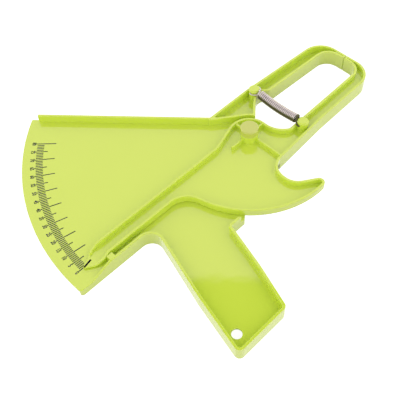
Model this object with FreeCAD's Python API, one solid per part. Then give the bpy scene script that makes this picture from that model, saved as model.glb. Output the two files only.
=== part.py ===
import FreeCAD, Part

import math
import os

# Skinfold caliper: a plastic frame (fan scale, pistol handle, left jaw) and a plastic lever (pointer,
# trigger, right jaw) turn on one round pivot and are closed by a tension spring.
# Origin: on the pivot axis, on the face that the caliper lies on. +Y runs to the jaws, +Z is up.
# Lengths are in millimetres and angles in degrees.

V = FreeCAD.Vector
THROUGH = "through"  # in an outline: the point is the middle of an arc

# Levels
wall_height = 12.0  # all walls, from the face that the caliper lies on
floor_bottom = 4.4  # underside of the frame's plate
floor_thickness = 1.8  # the frame's plate
lever_gap = 0.3  # air between the frame's plate and the lever's
web_thickness = 1.5  # the lever's plate
wall = 1.8  # thickness of the walls
rib = 1.5  # thickness of the ribs round the lever's hub

# Pivot
boss_radius = 4.0  # tube on the frame that the lever turns on
boss_foot_radius = 7.5  # its foot under the plate
shank_radius = 2.5  # pressed into the boss
shank_length = 10.0
bore_gap = 0.05  # running clearance, all round
hub_radius = 6.15  # the lever's hub
cap_radius = 6.3
hub_height = 7.5  # the lever's hub, from the lever's underside
cap_gap = 0.2  # air between hub and cap
cap_height = 4.8
cap_rounding = 0.8

# Jaws and arms
jaw_gap = 0.15  # between each jaw face and the middle plane
jaw_end = 107.2  # outer face of the jaws' ends
jaw_strip = 3.9  # width of the jaws' end strip
arm_corner = 16.0
loop_corner = 10.0
frame_arm_foot = 30.5  # half widths, from the middle plane to the arms' outer faces
frame_arm_straight = 30.0  # height up to which the frame's arm is parallel
frame_arm_tip = 26.1
lever_arm_foot = 30.2
lever_arm_waist = 26.4
lever_arm_waist_y = 45.0
lever_arm_tip = 25.2
loop_foot = 17.85  # half widths of the opening between the arms
loop_foot_y = 40.0
loop_tip = 15.4
lever_loop_foot = 16.6
lever_loop_tip = 14.9
arm_bend = 60.0  # radius of the arms' gentle bends

# Fan of the frame
fan_radius = 156.9
fan_edge_offset = 14.8  # from the pivot to the line of the fan's upper edge
fan_edge_angle = -138.1  # direction of that edge
fan_side = 9.0  # the fan's lower edge, parallel to the jaws' plane
fan_corner_high = 1.2  # roundings of the fan's two corners
fan_corner_low = 2.5
fan_wall_stop = 5.7  # the upper wall ends this far short of the fan's rim
side_wall_fade = (-131.5, -147.0)  # the side wall slopes down to the plate between these
stop_nub = (-131.6, -127.2)  # the pointer's zero stop, along the side wall
armpit_rounding = 1.5

# Handle of the frame
handle_end = 104.5
handle_low_start = -97.0  # where the lower edge would meet the fan's side
handle_low_middle = (64.0, -112.1)
handle_low_end = -121.0
handle_high_end = -81.0
handle_high_middle = (75.0, -71.3)
neck_side = 43.3
neck_low = -62.8
neck_wall_radius = 69.0  # the neck's wall stands above the plate beyond this distance from the pivot
handle_bend = 150.0
handle_fillet = 8.0
handle_corner = 3.5
neck_rounding = 1.0
hang_hole = (93.7, -111.2)
hang_hole_radius = 3.2

# Hub of the frame
hub_plate_radius = 14.6  # the plate round the pivot, under the lever
lever_clear_angle = -49.5  # direction of the plate's edge from the hub to the neck
lever_clear_end = 116.2  # direction from the pivot where the round edge ends
rib_clearance = 2.4  # between the lever's round wall and the frame's curved rib
rib_end_angle = 121.5  # direction from the pivot of the rib's inner end
rib_knee = (-26.4, -5.0, 12.0)  # bend of the rib before the arm's foot, with its radius
rib_foot = (-29.9, -9.5)
rib_rounding = 1.0  # in the narrow corner between the rib and the arm's outer wall
pocket_corner = (-15.9, 23.8)  # corner points of the opening's edge beside the spring post
pocket_side = 21.9
pocket_low = 31.5
pocket_high = 36.3
pocket_bend = 6.0
pocket_small_bend = 3.0

# Spring and its posts
post_radius = 4.0
post_top = 15.2
post_dome = 1.0
post_y = 32.2
frame_post_x = -25.0
lever_post_x = 20.5
eye_z = 13.0  # height of the spring's eyes, which run through a cross hole in each post
spring_z = 11.2  # the coils hang a little below the eyes
spring_radius = 3.1
wire_radius = 0.4
eye_gap = 0.1  # between the wire and the post, all round
coil_neck = 0.8  # from each eye to the first coil

# Lever
round_wall_radius = 15.1  # wall round the hub
sweep_centre_x = 2.1  # the hollow edge towards the lever's spring post
pointer_left = -8.5
pointer_right = 3.1
pointer_flare = (-128.5, 3.0)  # where the right side turns out to the tip's cheek, with its bend
pointer_shoulder = (-8.3, -24.0)  # where the wall from the hub meets the pointer
pointer_shoulder_bend = 15.0
pointer_wall_end = (-128.5, -138.5)  # the pointer's walls slope down to its plate between these
pointer_cheek_right = 3.9
pointer_tip = ((-132.0, 3.0), (2.9, -138.5, 8.0), (-1.2, -145.0, 0.5), (-2.6, -145.4, 0.5))
pointer_cheek = -134.0
pointer_cheek_bend = 4.0
trigger_radius = 64.3
trigger_fillet = 15.0
hook_tip_radius = 3.5
hook_tip_angle = 1.0  # direction of the hook's tip from the pivot
hook_lean = 56.0  # slope of the hook's inner face
hook_floor = -10.9
hook_bend = 11.4
skirt_gap = 1.2  # between the frame's hub plate and the lever's full-height walls
skirt_low = -1.4  # the lever's full-height walls start here
stub_rib_end = -16.6
long_rib_y = 1.2
stub_rib_x = -0.6
rib_drop = 0.4  # ribs stay this far below the walls' rims

floor_top = floor_bottom + floor_thickness
lever_bottom = floor_top + lever_gap
web_top = lever_bottom + web_thickness
hub_top = lever_bottom + hub_height
cap_bottom = hub_top + cap_gap
bore_radius = boss_radius + bore_gap
big = 4 * fan_radius  # larger than the whole caliper
spare = 1.0  # cutting shapes run this far past what they cut
tiny = 1e-6


def polar(radius, angle):
    """The point (x, y) at this distance and direction from the pivot."""
    turn = math.radians(angle)
    return (radius * math.cos(turn), radius * math.sin(turn))


def angle_of(point):
    """The direction of a point (x, y) from the pivot."""
    return math.degrees(math.atan2(point[1], point[0]))


def outline(corners):
    """The flat face inside corners (x, y), (x, y, rounding) or (x, y, THROUGH)."""
    points = [V(c[0], c[1], 0) for c in corners]
    roundings = [c[2] if len(c) > 2 else 0 for c in corners]
    count = len(points)
    spans = []
    for i, point in enumerate(points):
        if roundings[i] == THROUGH or roundings[i] == 0:
            spans.append((point, point, point))
            continue
        back = (points[i - 1] - point).normalize()
        ahead = (points[(i + 1) % count] - point).normalize()
        half = back.getAngle(ahead) / 2
        inward = (back + ahead).normalize()
        reach = roundings[i] / math.tan(half)
        depth = roundings[i] / math.sin(half) - roundings[i]
        spans.append((point + back * reach, point + inward * depth, point + ahead * reach))
    edges = []
    for i, (entry, middle, leave) in enumerate(spans):
        following = (i + 1) % count
        if roundings[i] == THROUGH:
            edges.append(Part.Arc(spans[i - 1][2], middle, spans[following][0]).toShape())
            continue
        if roundings[i]:
            edges.append(Part.Arc(entry, middle, leave).toShape())
        if roundings[following] != THROUGH and leave.distanceToPoint(spans[following][0]) > tiny:
            edges.append(Part.LineSegment(leave, spans[following][0]).toShape())
    return Part.Face(Part.Wire(edges))


def ribbon(line, thickness):
    """The flat face along a line of points (x, y, rounding), half its thickness to each side."""
    points = [V(p[0], p[1], 0) for p in line]
    sides = []
    for side in (1, -1):
        shifted = []
        for i, point in enumerate(points):
            steps = [(points[j + 1] - points[j]).normalize() for j in (i - 1, i) if 0 <= j < len(points) - 1]
            normals = [V(-s.y, s.x, 0) * side for s in steps]
            mitre = sum(normals[1:], normals[0]).normalize()
            place = point + mitre * (thickness / 2 / mitre.dot(normals[0]))
            outside = len(steps) > 1 and steps[0].cross(steps[1]).z * side < 0
            rounding = line[i][2]
            if rounding:
                rounding += thickness / 2 if outside else -thickness / 2
            shifted.append((place.x, place.y, rounding))
        sides.append(shifted)
    return outline(sides[0] + sides[1][::-1])


def disc(radius, centre=(0, 0)):
    """A flat round face."""
    return Part.Face(Part.Wire(Part.makeCircle(radius, V(centre[0], centre[1], 0))))


def slab(face, bottom, top):
    """The solid over a flat face between two levels."""
    solid = face.extrude(V(0, 0, top - bottom))
    solid.translate(V(0, 0, bottom))
    return solid


def drum(radius, bottom, top, centre=(0, 0)):
    """An upright cylinder."""
    return Part.makeCylinder(radius, top - bottom, V(centre[0], centre[1], bottom))


def rectangle(x_low, x_high, y_low, y_high):
    """A flat rectangle."""
    return outline([(x_low, y_low), (x_high, y_low), (x_high, y_high), (x_low, y_high)])


def ramp(start, end, x_low, x_high, low, high):
    """Everything above a slope that falls from high at y = start to low at y = end, and all beyond it."""
    over = high + wall_height
    corners = [(start, high), (start, over), (end - big, over), (end - big, low), (end, low)]
    profile = Part.Face(Part.makePolygon([V(x_low, y, z) for y, z in corners + corners[:1]]))
    return profile.extrude(V(x_high - x_low, 0, 0))


def round_top(shape, rounding):
    """An upright cylinder with its top edge rounded."""
    top = shape.BoundBox.ZMax
    rim = [edge for edge in shape.Edges if edge.BoundBox.ZMin > top - tiny]
    return shape.makeFillet(rounding, rim)


def spring_post(x, bottom):
    """A round post with a domed top and a cross hole that the spring's eye runs through."""
    post = round_top(drum(post_radius, bottom, post_top, (x, post_y)), post_dome)
    hole_radius = math.sqrt(2) * wire_radius + eye_gap
    hole_start = V(x, post_y - 2 * post_radius, eye_z)
    return post.cut(Part.makeCylinder(hole_radius, 4 * post_radius, hole_start, V(0, 1, 0)))


def fan_corner(along, outward, distance, rounding):
    """The rounding between the fan's rim and a straight side: its end on the side, middle and end on the rim."""
    reach = math.sqrt((fan_radius - rounding) ** 2 - (distance - rounding) ** 2)
    centre = outward * (distance - rounding) + along * reach
    towards_rim = V(centre).normalize()
    on_side = centre + outward * rounding
    middle = centre + (outward + towards_rim).normalize() * rounding
    on_rim = centre + towards_rim * rounding
    return [(on_side.x, on_side.y), (middle.x, middle.y, THROUGH), (on_rim.x, on_rim.y)]


def frame_outline():
    """The edge of the frame's plate, from the hub round the arm, the fan and the handle."""
    along = V(*polar(1, fan_edge_angle), 0)
    outward = V(along.y, -along.x, 0)
    foot = outward * fan_edge_offset
    armpit = foot + along * ((-frame_arm_foot - foot.x) / along.x)
    high_corner = fan_corner(along, outward, fan_edge_offset, fan_corner_high)
    low_corner = fan_corner(V(0, -1, 0), V(1, 0, 0), fan_side, fan_corner_low)
    rim_middle = polar(fan_radius, (angle_of(high_corner[-1]) + angle_of(low_corner[-1])) / 2)
    hub_start = polar(hub_plate_radius, lever_clear_angle)
    hub_end = polar(hub_plate_radius, lever_clear_end)
    hub_middle = polar(hub_plate_radius, (lever_clear_angle + lever_clear_end) / 2)
    neck_top = (neck_side, neck_side * math.tan(math.radians(lever_clear_angle)))
    loop_end = jaw_end - jaw_strip
    return outline([
        neck_top,
        hub_start,
        (*hub_middle, THROUGH),
        hub_end,
        (*pocket_corner, pocket_bend),
        (-pocket_side, pocket_low, pocket_bend),
        (-pocket_side, pocket_high, pocket_small_bend),
        (-loop_foot, loop_foot_y, pocket_small_bend),
        (-loop_tip, loop_end, loop_corner),
        (-jaw_gap, loop_end),
        (-jaw_gap, jaw_end),
        (-frame_arm_tip, jaw_end, arm_corner),
        (-frame_arm_foot, frame_arm_straight, arm_bend),
        (armpit.x, armpit.y, armpit_rounding),
        *high_corner,
        (*rim_middle, THROUGH),
        *low_corner[::-1],
        (fan_side, handle_low_start, handle_fillet),
        (*handle_low_middle, handle_bend),
        (handle_end, handle_low_end, handle_corner),
        (handle_end, handle_high_end, handle_corner),
        (*handle_high_middle, handle_bend),
        (neck_side, neck_low, neck_rounding),
    ])


def curved_rib():
    """The rib that runs round the lever's hub, from the opening's edge to the foot of the arm."""
    radius = round_wall_radius + rib_clearance + wall / 2
    knee_reach = math.hypot(rib_knee[0], rib_knee[1])
    leave_angle = 360 + angle_of(rib_knee) - math.degrees(math.acos(radius / knee_reach))
    half_turn = (leave_angle - rib_end_angle) / 2
    corner = polar(radius / math.cos(math.radians(half_turn)), rib_end_angle + half_turn)
    return ribbon([(*rib_foot, 0), rib_knee, (*corner, radius), (*polar(radius, rib_end_angle), 0)], wall)


def rib_corner():
    """The rounded filling of the narrow corner between the curved rib and the arm's outer wall."""
    foot, knee = V(*rib_foot, 0), V(rib_knee[0], rib_knee[1], 0)
    along_rib = (knee - foot).normalize()
    up = V(0, 1, 0)
    upper_edge = foot + V(-along_rib.y, along_rib.x, 0) * (wall / 2)
    corner = upper_edge + along_rib * ((wall - frame_arm_foot - upper_edge.x) / along_rib.x)
    half = along_rib.getAngle(up) / 2
    inward = (along_rib + up).normalize()
    reach = rib_rounding / math.tan(half)
    middle = corner + inward * (rib_rounding / math.sin(half) - rib_rounding)
    root = corner - inward * (wall / 2)
    ends = [corner + along_rib * reach, corner + up * reach]
    return outline([(root.x, root.y), (ends[0].x, ends[0].y), (middle.x, middle.y, THROUGH), (ends[1].x, ends[1].y)])


def build_frame():
    """Plate, walls above and below it, curved rib, spring post, zero stop and pivot boss."""
    face = frame_outline()
    border = face.cut(face.makeOffset2D(-wall))
    plate = slab(face, floor_bottom, floor_top)
    inner_side = fan_side - wall
    wall_stop = fan_radius - fan_wall_stop
    fan_rim = rectangle(-big, inner_side, -big, 0).cut(disc(wall_stop))
    skirt = slab(border, 0, floor_bottom).cut(slab(fan_rim, -spare, floor_bottom))
    lever_side = disc(neck_wall_radius).common(rectangle(0, big, -big, lever_post_x))
    swept = lever_side.fuse(disc(round_wall_radius + rib_clearance))
    rail = slab(border, floor_top, wall_height)
    for clear in (slab(fan_rim, 0, big), slab(swept, 0, big)):
        rail = rail.cut(clear)
    rail = rail.cut(ramp(*side_wall_fade, inner_side - spare, fan_side + spare, floor_top, wall_height))
    nub = slab(rectangle(pointer_cheek_right + jaw_gap, fan_side - wall / 2, *stop_nub), floor_bottom, wall_height)
    post = spring_post(frame_post_x, floor_bottom)
    boss = drum(boss_radius, 0, cap_bottom).fuse(drum(boss_foot_radius, 0, floor_bottom))
    ribs = [slab(face, 0, wall_height) for face in (curved_rib(), rib_corner())]
    frame = plate.multiFuse([skirt, rail, *ribs, nub, post, boss])
    frame = frame.cut(drum(shank_radius, cap_bottom - shank_length, cap_bottom))
    frame = frame.cut(drum(hang_hole_radius, 0, wall_height, hang_hole))
    return frame.removeSplitter()


def lever_outline():
    """The edge of the lever's plate, from the jaw round the trigger, the pointer and the hub."""
    sweep_y = math.sqrt((lever_loop_foot + round_wall_radius) ** 2 - sweep_centre_x**2)
    sweep_radius = math.hypot(sweep_centre_x, sweep_y) - round_wall_radius
    sweep_start = polar(round_wall_radius, angle_of((sweep_centre_x, sweep_y)))
    side = lever_loop_foot
    sweep_end = (side, sweep_y - math.sqrt(sweep_radius**2 - (side - sweep_centre_x) ** 2))
    turn = math.radians((angle_of((sweep_start[0] - sweep_centre_x, sweep_start[1] - sweep_y))
                         + angle_of((sweep_end[0] - sweep_centre_x, sweep_end[1] - sweep_y))) / 2)
    sweep_middle = (sweep_centre_x + sweep_radius * math.cos(turn), sweep_y + sweep_radius * math.sin(turn))
    shoulder_reach = math.hypot(*pointer_shoulder)
    leave_angle = angle_of(pointer_shoulder) - math.degrees(math.acos(round_wall_radius / shoulder_reach))
    round_start = polar(round_wall_radius, leave_angle)
    round_middle = polar(round_wall_radius, (leave_angle + 360 + angle_of(sweep_start)) / 2)
    armpit_x = pointer_right + trigger_fillet
    armpit_y = -math.sqrt((trigger_radius + trigger_fillet) ** 2 - armpit_x**2)
    trigger_start = polar(trigger_radius, angle_of((armpit_x, armpit_y)))
    facing = math.radians((180 + angle_of((-armpit_x, -armpit_y))) / 2)
    armpit_middle = (armpit_x + trigger_fillet * math.cos(facing), armpit_y + trigger_fillet * math.sin(facing))
    trigger_end = polar(trigger_radius, hook_tip_angle)
    trigger_middle = polar(trigger_radius, (angle_of(trigger_start) + hook_tip_angle) / 2)
    tip = V(*polar(trigger_radius - hook_tip_radius, hook_tip_angle), 0)
    tip_middle = tip + V(*polar(hook_tip_radius, (hook_tip_angle + 90 + hook_lean) / 2), 0)
    tip_end = tip + V(*polar(hook_tip_radius, 90 + hook_lean), 0)
    hook_corner = tip_end.x - (tip_end.y - hook_floor) / math.tan(math.radians(hook_lean))
    hook_room = (hook_corner - lever_arm_foot) / (1 + math.tan(math.radians(hook_lean / 2)))
    inner_bend = min(hook_bend, hook_room)
    loop_end = jaw_end - jaw_strip
    return outline([
        (jaw_gap, jaw_end),
        (jaw_gap, loop_end),
        (lever_loop_tip, loop_end, loop_corner),
        sweep_end,
        (*sweep_middle, THROUGH),
        sweep_start,
        (*round_middle, THROUGH),
        round_start,
        (*pointer_shoulder, pointer_shoulder_bend),
        (pointer_left, pointer_cheek, pointer_cheek_bend),
        *pointer_tip[:0:-1],
        (pointer_cheek_right, *pointer_tip[0]),
        (pointer_right, *pointer_flare),
        (pointer_right, armpit_y),
        (*armpit_middle, THROUGH),
        trigger_start,
        (*trigger_middle, THROUGH),
        trigger_end,
        (tip_middle.x, tip_middle.y, THROUGH),
        (tip_end.x, tip_end.y),
        (hook_corner, hook_floor, inner_bend),
        (lever_arm_foot, hook_floor, inner_bend),
        (lever_arm_waist, lever_arm_waist_y, arm_bend),
        (lever_arm_tip, jaw_end, arm_corner),
    ])


def build_lever():
    """Plate, walls, hub with its ribs, and spring post."""
    face = lever_outline()
    border = face.cut(face.makeOffset2D(-wall))
    plate = slab(face, lever_bottom, web_top)
    rail = slab(border, web_top, wall_height)
    rail = rail.cut(ramp(*pointer_wall_end, pointer_left - spare, big, web_top, wall_height))
    skirt_zone = rectangle(-big, lever_arm_foot + spare, skirt_low, big).cut(disc(hub_plate_radius + skirt_gap))
    skirt = slab(border.common(skirt_zone), 0, lever_bottom)
    ribs = [
        ribbon([(0, long_rib_y, 0), (lever_arm_foot - wall, long_rib_y, 0)], rib),
        ribbon([(0, long_rib_y, 0), (wall / 2 - round_wall_radius, long_rib_y, 0)], rib),
        ribbon([(stub_rib_x, 0, 0), (stub_rib_x, stub_rib_end, 0)], rib),
        ribbon([(stub_rib_x, 0, 0), (stub_rib_x, round_wall_radius - wall / 2, 0)], rib),
    ]
    ribs = [slab(shape, lever_bottom, wall_height - rib_drop) for shape in ribs]
    post = spring_post(lever_post_x, lever_bottom)
    hub = drum(hub_radius, lever_bottom, hub_top)
    lever = plate.multiFuse([rail, skirt, hub, post, *ribs])
    lever = lever.cut(drum(bore_radius, 0, cap_bottom))
    return lever.removeSplitter()


def build_pivot_pin():
    """Round cap that keeps the lever down, on a shank pressed into the frame's boss."""
    cap = round_top(drum(cap_radius, cap_bottom, cap_bottom + cap_height), cap_rounding)
    return cap.fuse(drum(shank_radius, cap_bottom - shank_length, cap_bottom)).removeSplitter()


def spring_eye(x, side):
    """A loop of wire round one half of a post and through its cross hole; side is 1 where the coils lie at +X."""
    faces = []
    for offset in (-wire_radius, wire_radius):
        radius = post_radius + eye_gap + wire_radius + offset
        back = x - side * offset
        ends = [(back, post_y - radius), (back, post_y + radius)]
        faces.append(outline([ends[0], (x + side * radius, post_y, THROUGH), ends[1]]))
    return slab(faces[1].cut(faces[0]), eye_z - wire_radius, eye_z + wire_radius)


def build_spring():
    """The coils as one round bar, with a short neck to the eye at each end."""
    reach = post_radius + eye_gap + wire_radius
    start, end = frame_post_x + reach, lever_post_x - reach
    bar = V(start + coil_neck, post_y, spring_z)
    coils = Part.makeCylinder(spring_radius, end - start - 2 * coil_neck, bar, V(1, 0, 0))
    neck = Part.makeCylinder(wire_radius, end - start, V(start, post_y, eye_z), V(1, 0, 0))
    return coils.multiFuse([neck, spring_eye(frame_post_x, 1), spring_eye(lever_post_x, -1)]).removeSplitter()


PIECES = {
    "frame": build_frame,
    "lever": build_lever,
    "pivot_pin": build_pivot_pin,
    "tension_spring": build_spring,
}

os.makedirs("parts", exist_ok=True)
for name, build in PIECES.items():
    shape = build()
    solids = shape.Solids
    assert len(solids) == 1 and shape.isValid(), (name, len(solids), shape.isValid())
    solids[0].exportStep(os.path.join("parts", name + ".step"))
    box = shape.BoundBox
    print(f"{name}: {shape.Volume / 1000:.2f} cm3, x {box.XMin:.1f}..{box.XMax:.1f}, "
          f"y {box.YMin:.1f}..{box.YMax:.1f}, z {box.ZMin:.1f}..{box.ZMax:.1f}")
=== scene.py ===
import math

import bmesh
import bpy
from bpy.props import FloatProperty, FloatVectorProperty, IntProperty, PointerProperty
from mathutils import Matrix, Quaternion, Vector
from mathutils.geometry import intersect_point_line


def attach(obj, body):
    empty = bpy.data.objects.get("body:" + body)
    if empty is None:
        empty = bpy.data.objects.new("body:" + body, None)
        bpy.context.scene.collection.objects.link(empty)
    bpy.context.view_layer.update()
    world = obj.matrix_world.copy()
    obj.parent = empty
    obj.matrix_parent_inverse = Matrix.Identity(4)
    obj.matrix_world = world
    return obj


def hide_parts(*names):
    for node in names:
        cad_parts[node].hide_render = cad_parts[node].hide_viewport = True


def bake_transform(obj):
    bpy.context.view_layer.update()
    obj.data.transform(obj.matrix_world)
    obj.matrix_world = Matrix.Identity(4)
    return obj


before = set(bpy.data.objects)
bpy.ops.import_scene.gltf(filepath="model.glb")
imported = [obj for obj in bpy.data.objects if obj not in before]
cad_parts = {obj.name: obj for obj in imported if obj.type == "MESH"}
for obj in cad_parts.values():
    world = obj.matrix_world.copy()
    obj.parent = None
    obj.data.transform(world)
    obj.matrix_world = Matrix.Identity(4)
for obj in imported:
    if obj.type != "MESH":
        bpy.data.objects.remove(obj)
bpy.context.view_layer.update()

bl_info = {
    "name": "Skinfold Caliper",
    "version": (1, 0, 0),
    "blender": (4, 5, 0),
    "location": "View3D > Sidebar > Caliper",
    "description": "Dresses a skinfold caliper: moulded plastic, wound spring, printed scale and stage",
    "category": "Object",
}

# The row frame: origin on the pivot axis, on the face that the caliper lies on; +Y to the jaws, +Z up.
MM = 0.001
MERGE = 0.05 * MM  # corners closer than this are one
COPLANAR = math.radians(0.5)  # faces that turn less than this lie in one plane
SHARP = math.radians(30)  # edges that turn more than this get a rounding
CORNER = math.radians(50)  # edges that still turn more than this stay sharp
PAD_GRAIN = 1.2 * MM  # width of the grain that a printing pad leaves in its ink
DRAW_MARKS = 0.6 * MM  # width of the marks that the drawing die leaves on wire, coarse enough to show
NEAR, FAR = 0.01, 20  # metres in front of the camera between which things are drawn
MIX_A, MIX_B, MIXED = 6, 7, 2  # a Mix node's sockets for two colours and for their mixture


def linear(code):
    """The linear colour of an sRGB hex value such as 0xC6D944."""
    channels = [(code >> shift & 255) / 255 for shift in (16, 8, 0)]
    return [c / 12.92 if c <= 0.04045 else ((c + 0.055) / 1.055) ** 2.4 for c in channels]


def length(name, description, millimetres, low=0.0):
    """A length property, held in metres."""
    return FloatProperty(name=name, description=description, default=millimetres * MM,
                         min=low, unit="LENGTH", precision=5)


def angle(name, description, degrees):
    """An angle property, held in radians."""
    return FloatProperty(name=name, description=description, default=math.radians(degrees), subtype="ANGLE")


def factor(name, description, value, low=0.0):
    """A property that is a plain number."""
    return FloatProperty(name=name, description=description, default=value, min=low)


def point(name, description, millimetres):
    """A point property, held in metres."""
    return FloatVectorProperty(name=name, description=description, default=[c * MM for c in millimetres],
                               subtype="TRANSLATION")


def colour(name, description, code):
    """A colour property, held in linear values."""
    return FloatVectorProperty(name=name, description=description, default=linear(code),
                               subtype="COLOR", size=3, min=0.0, max=1.0)


class PlasticProperties(bpy.types.PropertyGroup):
    tint: colour("Plastic", "Pigment of the moulded frame and lever", 0xD6EC4C)
    tint_flow: colour("Flow tint", "Pigment where the melt ran thinner", 0xD2E846)
    cap_tint: colour("Cap", "Pigment of the pivot cap", 0xC9D45A)
    edge: length("Edge rounding", "Rounding that the mould leaves on outward edges", 0.4)
    wave: length("Waviness", "Width of the shallow waves that cooling leaves on flat faces", 14)
    wave_depth: length("Wave depth", "Depth of those waves", 0.2)
    wave_strength: factor("Wave strength", "How strongly those waves bend the reflections", 0.15)
    flow: length("Flow marks", "Width of the marks where the melt slowed down", 45)
    ior: factor("IOR", "Refractive index of the surface", 1.8, low=1.0)
    gloss_tint: colour("Gloss tint", "Colour of the skin's reflections", 0xFFCEFF)


class SpringProperties(bpy.types.PropertyGroup):
    wire: length("Wire", "Diameter of the wire", 1.15)
    pitch: length("Pitch", "From coil to coil, a little open under the spring's own pull", 1.35)
    coil: length("Coil", "Outer diameter of the coils", 6.8)
    post: length("Post", "Diameter of the posts", 8.0)
    post_y: length("Post line", "Distance of both posts from the pivot along Y", 32.2)
    frame_post: length("Frame post", "Place of the frame's post along X", -25.0, low=-1.0)
    lever_post: length("Lever post", "Place of the lever's post along X", 20.5)
    air: length("Air", "Between each eye and its post", 0.1)
    eye_height: length("Eye height", "Height of the eyes above the resting face", 13.0)
    hole: length("Cross hole", "Diameter of the hole through each post", 1.4)
    coil_height: length("Coil height", "Height of the coils' axis above the resting face", 13.0)
    neck: length("Neck", "Straight wire between each eye and the first coil", 0.4)
    sag: length("Sag", "How far the coils hang down halfway", 1.6)
    steel: colour("Steel", "Colour of the wire", 0xE0D4D2)
    # Painted shade, not oil or dust: this colour darkens the inside of the coils, the side that faces the hub
    # and the lever's eye, where the wire lies in shade.
    grime: colour("Painted shade", "Colour of the wire where oil and dust gather", 0x6C6848)


class ScaleProperties(bpy.types.PropertyGroup):
    zero: angle("Zero", "Direction of the zero mark from the pivot", -91.15)
    jaw_radius: length("Jaw radius", "Where the jaws open by the scale's millimetres, from the pivot", 107.2)
    reach: IntProperty(name="Reach", description="Last mark of the scale, in millimetres", default=80, min=10)
    outer: length("Outer end", "Distance of the fine marks' outer ends from the pivot", 147.5)
    fine: length("Fine mark", "Length of each millimetre mark", 4.9)
    medium: length("Medium mark", "Length of each fifth mark from the fine marks' outer ends", 7.7)
    long: length("Long mark", "Length of each tenth mark from the fine marks' outer ends", 13.0)
    over: length("Overrun", "How far each fifth mark runs out past the fine ones", 0.9)
    line: length("Line", "Width of the printed lines", 0.66)
    film: length("Film", "Thickness of the printed ink", 0.03)
    plate: length("Plate", "Height of the fan's upper face above the resting face", 6.2)
    digits: length("Digits", "Size of the numerals", 3.9)
    digit_gap: length("Digit gap", "From the fine marks' outer ends to the numerals", 0.6)
    weight: length("Weight", "Thickening of the numerals' strokes", 0.12)
    narrow: factor("Narrow", "Width of the numerals against the font's", 0.7, low=0.1)
    ink: colour("Ink", "Colour of the printed scale", 0x262A42)


class IndexProperties(bpy.types.PropertyGroup):
    reach: length("Length", "Length of the line", 6.6)
    tip: point("Tip", "The line's outer end on the pointer", (-1.8, -145.0, 8.0))
    lean: angle("Lean", "Direction of the line towards its outer end", -79)
    width: length("Width", "Width of the line", 1.2)
    ink: colour("Ink", "Colour of the index line", 0x080A02)


class StageProperties(bpy.types.PropertyGroup):
    target: point("Target", "Point that the camera looks at", (12.2, -59.9, 6.2))
    azimuth: angle("Azimuth", "Direction of the camera round the caliper", 48.3)
    elevation: angle("Elevation", "Height of the camera above the horizon", 54.0)
    roll: angle("Roll", "Turn of the camera about its axis", -3.7)
    distance: length("Distance", "From the camera to its target", 435)
    lens: factor("Lens", "Focal length in millimetres", 60.3, low=1.0)
    sensor: factor("Sensor", "Width of the camera's sensor in millimetres", 36.0, low=1.0)
    floor: length("Floor", "Half the width of the floor", 3000)
    paper: colour("Paper", "Colour of the floor", 0xB8B8B8)
    glow: factor("Glow", "What the studio round the caliper adds to the floor's brightness", 0.92)
    window: factor("Window", "Strength of the light from the sides", 1.56)
    ceiling: factor("Ceiling", "Strength of the light from above", 0.12)
    top: angle("Window top", "Height at which the bright sides end", 60.75)
    blur: angle("Window edge", "Height over which the bright sides fade", 0.8)


def add(tree, kind, inputs=(), **settings):
    """Adds a node; inputs are pairs of a socket's name or number and a value or an output to link."""
    made = tree.nodes.new(kind)
    for name, value in settings.items():
        setattr(made, name, value)
    for name, value in inputs:
        if isinstance(value, bpy.types.NodeSocket):
            tree.links.new(value, made.inputs[name])
        else:
            made.inputs[name].default_value = value
    return made


def material(name):
    """An empty node material and its tree."""
    made = bpy.data.materials.new(name)
    made.use_nodes = True
    made.node_tree.nodes.clear()
    return made, made.node_tree


def moulded_polystyrene(name, tint, flow_tint):
    """Polystyrene from a polished mould: opaque lime pigment under a clear, glossy skin.
    It mirrors its own walls in its floors, with shallow sink waves and faint marks where the melt flowed."""
    plastic = bpy.context.scene.caliper_plastic
    made, tree = material(name)
    place = add(tree, "ShaderNodeTexCoord").outputs["Object"]
    marks = add(tree, "ShaderNodeTexNoise", [("Vector", place), ("Scale", 1 / plastic.flow), ("Detail", 3.0)])
    pigment = add(tree, "ShaderNodeMix", [
        ("Factor", marks.outputs["Fac"]), (MIX_A, (*tint, 1)), (MIX_B, (*flow_tint, 1)),
    ], data_type="RGBA")
    skin = add(tree, "ShaderNodeMapRange", [
        ("Value", marks.outputs["Fac"]), ("To Min", 0.02), ("To Max", 0.05),
    ])
    waves = add(tree, "ShaderNodeTexNoise", [("Vector", place), ("Scale", 1 / plastic.wave), ("Detail", 2.0)])
    bump = add(tree, "ShaderNodeBump", [
        ("Height", waves.outputs["Fac"]), ("Strength", plastic.wave_strength),
        ("Distance", plastic.wave_depth),
    ])
    shader = add(tree, "ShaderNodeBsdfPrincipled", [
        ("Base Color", pigment.outputs[MIXED]), ("Roughness", skin.outputs["Result"]), ("IOR", plastic.ior),
        ("Specular Tint", (*plastic.gloss_tint, 1)), ("Normal", bump.outputs["Normal"]),
    ])
    add(tree, "ShaderNodeOutputMaterial", [("Surface", shader.outputs["BSDF"])])
    return made


def printing_ink(name, tint):
    """Pad-printed ink: a thin, dry, matt film, a little uneven at the grain of the pad that laid it down."""
    made, tree = material(name)
    place = add(tree, "ShaderNodeTexCoord").outputs["Object"]
    grain = add(tree, "ShaderNodeTexNoise", [("Vector", place), ("Scale", 1 / PAD_GRAIN), ("Detail", 2.0)])
    dry = add(tree, "ShaderNodeMapRange", [("Value", grain.outputs["Fac"]), ("To Min", 0.7), ("To Max", 0.9)])
    shader = add(tree, "ShaderNodeBsdfPrincipled", [
        ("Base Color", (*tint, 1)), ("Roughness", dry.outputs["Result"]), ("IOR", 1.25),
    ])
    add(tree, "ShaderNodeOutputMaterial", [("Surface", shader.outputs["BSDF"])])
    return made


def select_only(piece):
    """Makes one object the only selected and active one."""
    bpy.ops.object.select_all(action="DESELECT")
    piece.select_set(True)
    bpy.context.view_layer.objects.active = piece


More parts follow.
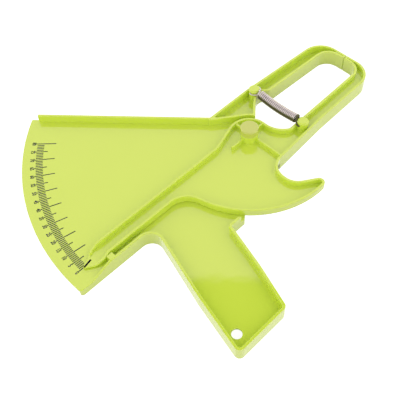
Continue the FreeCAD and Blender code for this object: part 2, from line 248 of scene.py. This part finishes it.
def finish_piece(piece, name, body, look):
    """Names a piece, puts its place in its mesh, and gives it a material, a slot and, if it rides, a body."""
    piece.name = piece.data.name = name
    select_only(piece)
    bpy.ops.object.transform_apply(location=True, rotation=True, scale=True)
    piece.data.materials.clear()
    piece.data.materials.append(look)
    if body:
        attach(piece, body)


def apply_modifier(piece, kind, **settings):
    """Adds a modifier with its settings and applies it."""
    made = piece.modifiers.new(kind.title(), kind)
    for name, value in settings.items():
        setattr(made, name, value)
    select_only(piece)
    bpy.ops.object.modifier_apply(modifier=made.name)


def has_room(edge, rounding):
    """Whether the faces beside an edge have no corner that stands closer to it than its rounding.
    Beside the lever's arm its post's foot does, and a rounding there would fold the rim over."""
    start, end = (corner.co for corner in edge.verts)
    for face in edge.link_faces:
        for corner in face.verts:
            foot, share = intersect_point_line(corner.co, start, end)
            if 0 < share < 1 and corner not in edge.verts and (corner.co - foot).length < rounding:
                return False
    return True


def mark_rims(piece, rounding):
    """Gives a bevel weight to the outward edges with room for the rounding, but not to the cross holes'."""
    spring = bpy.context.scene.caliper_spring
    low, high = spring.eye_height - spring.hole / 2, spring.eye_height + spring.hole / 2
    mesh = bmesh.new()
    mesh.from_mesh(piece.data)
    weight = mesh.edges.layers.float.new("bevel_weight_edge")
    for edge in mesh.edges:
        if edge.calc_face_angle(0) > SHARP and edge.is_convex:
            hole = all(low < corner.co.z < high for corner in edge.verts)
            edge[weight] = not hole and has_room(edge, rounding)
    mesh.to_mesh(piece.data)
    mesh.free()


def keep_corners(piece):
    """Marks the edges that no rounding has softened as sharp."""
    mesh = bmesh.new()
    mesh.from_mesh(piece.data)
    for edge in mesh.edges:
        edge.smooth = edge.calc_face_angle(0) < CORNER
    mesh.to_mesh(piece.data)
    mesh.free()


def moulding(node, name, body, look, rounding):
    """A moulded piece: the merged copy of a CAD node with its edges rounded, in the node's place."""
    piece = bpy.data.objects.new(name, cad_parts[node].data.copy())
    bpy.context.scene.collection.objects.link(piece)
    select_only(piece)
    bpy.ops.object.mode_set(mode="EDIT")
    bpy.ops.mesh.select_all(action="SELECT")
    bpy.ops.mesh.remove_doubles(threshold=MERGE)
    bpy.ops.mesh.dissolve_limited(angle_limit=COPLANAR)
    bpy.ops.object.mode_set(mode="OBJECT")
    bpy.ops.object.shade_smooth()
    mark_rims(piece, rounding)
    apply_modifier(piece, "BEVEL", width=rounding, segments=2, limit_method="WEIGHT", use_clamp_overlap=False)
    keep_corners(piece)
    apply_modifier(piece, "WEIGHTED_NORMAL", mode="FACE_AREA", keep_sharp=True)
    finish_piece(piece, name, body, look)
    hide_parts(node)


class CALIPER_OT_frame(bpy.types.Operator):
    """Dress the frame: fan, pistol handle and left jaw in one moulding"""
    bl_idname = "caliper.frame"
    bl_label = "Frame"

    def execute(self, context):
        plastic = context.scene.caliper_plastic
        look = moulded_polystyrene("frame_polystyrene", plastic.tint, plastic.tint_flow)
        moulding("frame", "frame_moulding", "frame", look, plastic.edge)
        return {"FINISHED"}


class CALIPER_OT_lever(bpy.types.Operator):
    """Dress the lever: pointer, finger hook and right jaw in one moulding"""
    bl_idname = "caliper.lever"
    bl_label = "Lever"

    def execute(self, context):
        plastic = context.scene.caliper_plastic
        look = moulded_polystyrene("lever_polystyrene", plastic.tint, plastic.tint_flow)
        moulding("lever", "lever_moulding", "lever", look, plastic.edge)
        return {"FINISHED"}


class CALIPER_OT_pivot_cap(bpy.types.Operator):
    """Dress the round cap that keeps the lever on its boss"""
    bl_idname = "caliper.pivot_cap"
    bl_label = "Pivot Cap"

    def execute(self, context):
        plastic = context.scene.caliper_plastic
        look = moulded_polystyrene("cap_polystyrene", plastic.cap_tint, plastic.cap_tint)
        moulding("pivot_pin", "pivot_cap", "frame", look, plastic.edge / 2)
        return {"FINISHED"}


def spring_route(spring):
    """The wire's centre line: an eye through the frame's post, the close-wound coils, the lever's eye."""
    steps = 18  # points in each turn of a coil
    quarter_steps = 6  # in each quarter of an eye
    through = (-0.7, 0.0, 0.7)  # points in a cross hole, as shares of the eye's radius
    climb = (0.1, 0.3, 0.55, 0.8, 1.0)  # how far an eye's last points have risen to the first coil
    eye = spring.post / 2 + spring.air + spring.wire / 2
    winding = (spring.coil - spring.wire) / 2
    neck = eye + spring.wire / 2 + spring.neck
    start, end = spring.frame_post + neck, spring.lever_post - neck
    turns = round((end - start) / spring.pitch)
    y, rise = spring.post_y, spring.coil_height + winding - spring.eye_height

    def half_eye(x, side):
        """From the coils round one side of a post, through its cross hole and back round the other side."""
        quarter = [math.radians(90 * i / quarter_steps) for i in range(quarter_steps + 1)]
        out = [(x + side * eye * math.cos(a), y - side * eye * math.sin(a)) for a in quarter]
        back = [(x + side * eye * math.cos(a), y + side * eye * math.sin(a)) for a in quarter[::-1]]
        middle = [(x, y + side * eye * share) for share in through]
        flat = out + middle + back
        lift = [0.0] * (len(flat) - len(climb)) + [rise * share for share in climb]
        return [Vector((px, py, spring.eye_height + up)) for (px, py), up in zip(flat, lift)]

    coils = []
    for i in range(turns * steps + 1):
        turn = math.radians(90) + math.tau * i / steps
        share = i / (turns * steps)
        height = spring.coil_height - spring.sag * math.sin(math.pi * share)
        coils.append(Vector((start + (end - start) * share, y + winding * math.cos(turn),
                             height + winding * math.sin(turn))))
    return half_eye(spring.frame_post, 1) + coils + half_eye(spring.lever_post, -1)[::-1]


class CALIPER_OT_spring(bpy.types.Operator):
    """Wind the tension spring between the two posts"""
    bl_idname = "caliper.spring"
    bl_label = "Spring"

    def execute(self, context):
        spring = context.scene.caliper_spring
        route = spring_route(spring)
        bpy.ops.object.select_all(action="DESELECT")
        bpy.ops.curve.primitive_nurbs_path_add(location=(0, 0, 0))
        piece = context.object
        line = piece.data.splines
        line.clear()
        wire = line.new("POLY")
        wire.points.add(len(route) - 1)
        for knot, place in zip(wire.points, route):
            knot.co = (*place, 1)
        piece.data.bevel_depth = spring.wire / 2
        piece.data.bevel_resolution = 2
        piece.data.use_fill_caps = True
        bpy.ops.object.convert(target="MESH")
        bpy.ops.object.shade_smooth()
        finish_piece(piece, "spring_coil", None, spring_steel(spring))
        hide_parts("tension_spring")
        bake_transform(piece)
        return {"FINISHED"}


def spring_steel(spring):
    """Hard-drawn spring wire: a metal with fine marks from the die, a little dull from its oil film.
    Painted shade darkens the lever's eye, the inside of the coils and the side that faces the hub."""
    no_shade_share, full_shade_share = -0.65, -0.9  # where the side's painted shade fades in, as shares of the coils' radius
    radius = spring.coil / 2
    made, tree = material("spring_wire_steel")
    place = add(tree, "ShaderNodeTexCoord").outputs["Object"]
    draw = add(tree, "ShaderNodeTexNoise", [("Vector", place), ("Scale", 1 / DRAW_MARKS), ("Detail", 2.0)])
    dull = add(tree, "ShaderNodeMapRange", [
        ("Value", draw.outputs["Fac"]), ("To Min", 0.3), ("To Max", 0.45),
    ])
    apart = add(tree, "ShaderNodeSeparateXYZ", [("Vector", place)])
    across = add(tree, "ShaderNodeMath", [
        (0, apart.outputs["Y"]), (1, spring.post_y),
    ], operation="SUBTRACT")
    up = add(tree, "ShaderNodeMath", [
        (0, apart.outputs["Z"]), (1, spring.coil_height - spring.sag),
    ], operation="SUBTRACT")
    flat = add(tree, "ShaderNodeCombineXYZ", [("X", across.outputs[0]), ("Y", up.outputs[0])])
    axis = add(tree, "ShaderNodeVectorMath", [(0, flat.outputs[0])], operation="LENGTH")
    # Painted shade inside the coils, where the turns shade one another.
    inside = add(tree, "ShaderNodeMapRange", [
        ("Value", axis.outputs["Value"]), ("From Min", radius - spring.wire),
        ("From Max", radius - spring.wire / 4), ("To Min", 1.0), ("To Max", 0.0),
    ])
    # Painted shade on the side of the coils that faces the hub.
    side = add(tree, "ShaderNodeMapRange", [
        ("Value", across.outputs[0]), ("From Min", full_shade_share * radius), ("From Max", no_shade_share * radius),
        ("To Min", 1.0), ("To Max", 0.0),
    ])
    middle = (spring.frame_post + spring.lever_post) / 2
    along = add(tree, "ShaderNodeMath", [
        (0, apart.outputs["X"]), (1, middle),
    ], operation="SUBTRACT")
    half = spring.lever_post - middle - spring.post / 2 - spring.wire - spring.neck
    # The painted shade on the coils starts past the frame's eye.
    coils = add(tree, "ShaderNodeMapRange", [
        ("Value", along.outputs[0]), ("From Min", -half), ("From Max", spring.wire - half),
    ])
    # Painted shadow on the lever's eye and the last coil.
    eye = add(tree, "ShaderNodeMapRange", [
        ("Value", along.outputs[0]), ("From Min", half - spring.wire), ("From Max", half - spring.wire / 2),
    ])
    worst = add(tree, "ShaderNodeMath", [
        (0, inside.outputs["Result"]), (1, side.outputs["Result"]),
    ], operation="MAXIMUM")
    wound = add(tree, "ShaderNodeMath", [
        (0, worst.outputs[0]), (1, coils.outputs["Result"]),
    ], operation="MULTIPLY")
    grime = add(tree, "ShaderNodeMath", [
        (0, wound.outputs[0]), (1, eye.outputs["Result"]),
    ], operation="MAXIMUM")
    # Mixes the painted shade into the steel's colour.
    wire = add(tree, "ShaderNodeMix", [
        ("Factor", grime.outputs[0]), (MIX_A, (*spring.steel, 1)), (MIX_B, (*spring.grime, 1)),
    ], data_type="RGBA")
    shader = add(tree, "ShaderNodeBsdfPrincipled", [
        ("Base Color", wire.outputs[MIXED]), ("Metallic", 1.0), ("Roughness", dull.outputs["Result"]),
    ])
    add(tree, "ShaderNodeOutputMaterial", [("Surface", shader.outputs["BSDF"])])
    return made


def mark(inner, outer, width, heading, bottom, film):
    """A printed line along a radius of the pivot, as a thin film with bevelled edges."""
    bpy.ops.object.select_all(action="DESELECT")
    bpy.ops.mesh.primitive_cube_add(size=1, location=((inner + outer) / 2, 0, bottom + film / 2),
                                    scale=(outer - inner, width, film))
    line = bpy.context.object
    bpy.ops.object.transform_apply(location=True, rotation=True, scale=True)
    bpy.ops.object.mode_set(mode="EDIT")
    bpy.ops.mesh.select_all(action="SELECT")
    bpy.ops.mesh.bevel(offset=film / 3, segments=1)
    bpy.ops.object.mode_set(mode="OBJECT")
    line.data.transform(Matrix.Rotation(heading, 4, "Z"))
    return line


def numeral(number, size, narrow, weight, film, radius, heading, bottom):
    """A printed numeral that reads from outside the fan, its top towards the pivot."""
    bpy.ops.object.select_all(action="DESELECT")
    bpy.ops.object.text_add(location=(0, 0, 0))
    text = bpy.context.object
    text.data.body = str(number)
    text.data.size = size
    text.data.align_x = "CENTER"
    text.data.align_y = "TOP"
    text.data.extrude = film / 2
    text.data.resolution_u = 2
    text.data.offset = weight
    bpy.ops.object.convert(target="MESH")
    text = bpy.context.object
    upright = Matrix.Rotation(math.radians(90), 4, "Z") @ Matrix.Diagonal((narrow, 1, 1, 1))
    place = Matrix.Rotation(heading, 4, "Z") @ Matrix.Translation((radius, 0, bottom + film / 2))
    text.data.transform(place @ upright)
    return text


def join(parts):
    """Joins objects into one and returns it."""
    select_only(parts[0])
    for part in parts:
        part.select_set(True)
    bpy.ops.object.join()
    return bpy.context.object


class CALIPER_OT_scale(bpy.types.Operator):
    """Print the millimetre scale and its numerals on the fan"""
    bl_idname = "caliper.scale"
    bl_label = "Scale"

    def execute(self, context):
        scale = context.scene.caliper_scale
        look = printing_ink("scale_ink", scale.ink)
        marks, numerals = [], []
        for opening in range(scale.reach + 1):
            heading = scale.zero - 2 * math.asin(opening * MM / (2 * scale.jaw_radius))
            fifth = opening % 5 == 0
            tall = scale.long if opening % 10 == 0 else scale.medium if fifth else scale.fine
            outer = scale.outer + scale.over if fifth else scale.outer
            marks.append(mark(scale.outer - tall, outer, scale.line, heading, scale.plate, scale.film))
            if fifth:
                numerals.append(numeral(opening, scale.digits, scale.narrow, scale.weight, scale.film,
                                        scale.outer + scale.digit_gap, heading, scale.plate))
        finish_piece(join(marks), "scale_marks", "frame", look)
        finish_piece(join(numerals), "scale_numerals", "frame", look)
        return {"FINISHED"}


class CALIPER_OT_index_line(bpy.types.Operator):
    """Print the index line on the pointer's tip"""
    bl_idname = "caliper.index_line"
    bl_label = "Index Line"

    def execute(self, context):
        index = context.scene.caliper_index
        scale = context.scene.caliper_scale
        line = mark(-index.reach, 0, index.width, index.lean, 0, scale.film)
        line.data.transform(Matrix.Translation(index.tip))
        finish_piece(line, "index_line", "lever", printing_ink("index_ink", index.ink))
        return {"FINISHED"}


def paper_floor(tint, glow):
    """Matt white paper that the camera and mirrors see as bright as the studio, under its own shadows."""
    made, tree = material("paper_floor")
    path = add(tree, "ShaderNodeLightPath")
    seen = add(tree, "ShaderNodeMath", [
        (0, path.outputs["Is Camera Ray"]), (1, path.outputs["Is Glossy Ray"]),
    ], operation="MAXIMUM")
    through = add(tree, "ShaderNodeMath", [
        (0, seen.outputs[0]), (1, path.outputs["Is Transmission Ray"]),
    ], operation="MAXIMUM")
    fill = add(tree, "ShaderNodeMath", [(0, through.outputs[0]), (1, glow)], operation="MULTIPLY")
    paper = add(tree, "ShaderNodeBsdfDiffuse", [("Color", (*tint, 1))])
    shine = add(tree, "ShaderNodeEmission", [("Strength", fill.outputs[0])])
    both = add(tree, "ShaderNodeAddShader", [(0, paper.outputs[0]), (1, shine.outputs[0])])
    add(tree, "ShaderNodeOutputMaterial", [("Surface", both.outputs[0])])
    return made


def studio_light(stage):
    """A studio that is bright all round up to the windows' tops and dim above them."""
    world = bpy.data.worlds.new("studio")
    world.use_nodes = True
    tree = world.node_tree
    tree.nodes.clear()
    direction = add(tree, "ShaderNodeTexCoord").outputs["Generated"]
    height = add(tree, "ShaderNodeSeparateXYZ", [("Vector", direction)])
    light = add(tree, "ShaderNodeMapRange", [
        ("Value", height.outputs["Z"]), ("From Min", math.sin(stage.top - stage.blur / 2)),
        ("From Max", math.sin(stage.top + stage.blur / 2)), ("To Min", stage.window),
        ("To Max", stage.ceiling),
    ])
    sky = add(tree, "ShaderNodeBackground", [("Strength", light.outputs["Result"])])
    add(tree, "ShaderNodeOutputWorld", [("Surface", sky.outputs[0])])
    return world


def studio_camera(stage):
    """The camera at its distance from the target, in the direction of azimuth and elevation."""
    turn, rise = stage.azimuth, stage.elevation
    back = Vector((math.sin(turn) * math.cos(rise), -math.cos(turn) * math.cos(rise), math.sin(rise)))
    bpy.ops.object.camera_add(location=Vector(stage.target) + back * stage.distance)
    camera = bpy.context.object
    camera.rotation_mode = "QUATERNION"
    camera.rotation_quaternion = (-back).to_track_quat("-Z", "Y") @ Quaternion((0, 0, 1), stage.roll)
    camera.data.lens = stage.lens
    camera.data.sensor_width = stage.sensor
    camera.data.clip_start = NEAR
    camera.data.clip_end = FAR
    return camera


class CALIPER_OT_stage(bpy.types.Operator):
    """Set the floor, the studio light and the camera"""
    bl_idname = "caliper.stage"
    bl_label = "Stage"

    def execute(self, context):
        stage = context.scene.caliper_stage
        bpy.ops.object.select_all(action="DESELECT")
        bpy.ops.mesh.primitive_plane_add(size=2 * stage.floor, location=(0, 0, 0))
        floor = context.object
        floor.name = "floor"
        floor.data.materials.append(paper_floor(stage.paper, stage.glow))
        context.scene.world = studio_light(stage)
        context.scene.camera = studio_camera(stage)
        context.scene.view_settings.view_transform = "Standard"
        return {"FINISHED"}


class CALIPER_PT_panel(bpy.types.Panel):
    """The caliper's pieces and their sizes"""
    bl_idname = "CALIPER_PT_panel"
    bl_label = "Skinfold Caliper"
    bl_space_type = "VIEW_3D"
    bl_region_type = "UI"
    bl_category = "Caliper"

    def draw(self, context):
        for operator in OPERATORS:
            self.layout.operator(operator.bl_idname)
        for name in GROUPS:
            box = self.layout.box()
            group = getattr(context.scene, name)
            for field in group.__annotations__:
                box.prop(group, field)


OPERATORS = (CALIPER_OT_frame, CALIPER_OT_lever, CALIPER_OT_pivot_cap, CALIPER_OT_spring, CALIPER_OT_scale,
             CALIPER_OT_index_line, CALIPER_OT_stage)
GROUPS = {
    "caliper_plastic": PlasticProperties,
    "caliper_spring": SpringProperties,
    "caliper_scale": ScaleProperties,
    "caliper_index": IndexProperties,
    "caliper_stage": StageProperties,
}
CLASSES = (*GROUPS.values(), *OPERATORS, CALIPER_PT_panel)


def register():
    for item in CLASSES:
        bpy.utils.register_class(item)
    for name, group in GROUPS.items():
        setattr(bpy.types.Scene, name, PointerProperty(type=group))


def unregister():
    for name in GROUPS:
        delattr(bpy.types.Scene, name)
    for item in reversed(CLASSES):
        bpy.utils.unregister_class(item)


def main():
    register()
    bpy.ops.caliper.frame()
    bpy.ops.caliper.lever()
    bpy.ops.caliper.pivot_cap()
    bpy.ops.caliper.spring()
    bpy.ops.caliper.scale()
    bpy.ops.caliper.index_line()
    bpy.ops.caliper.stage()


if __name__ == "__main__":
    main()
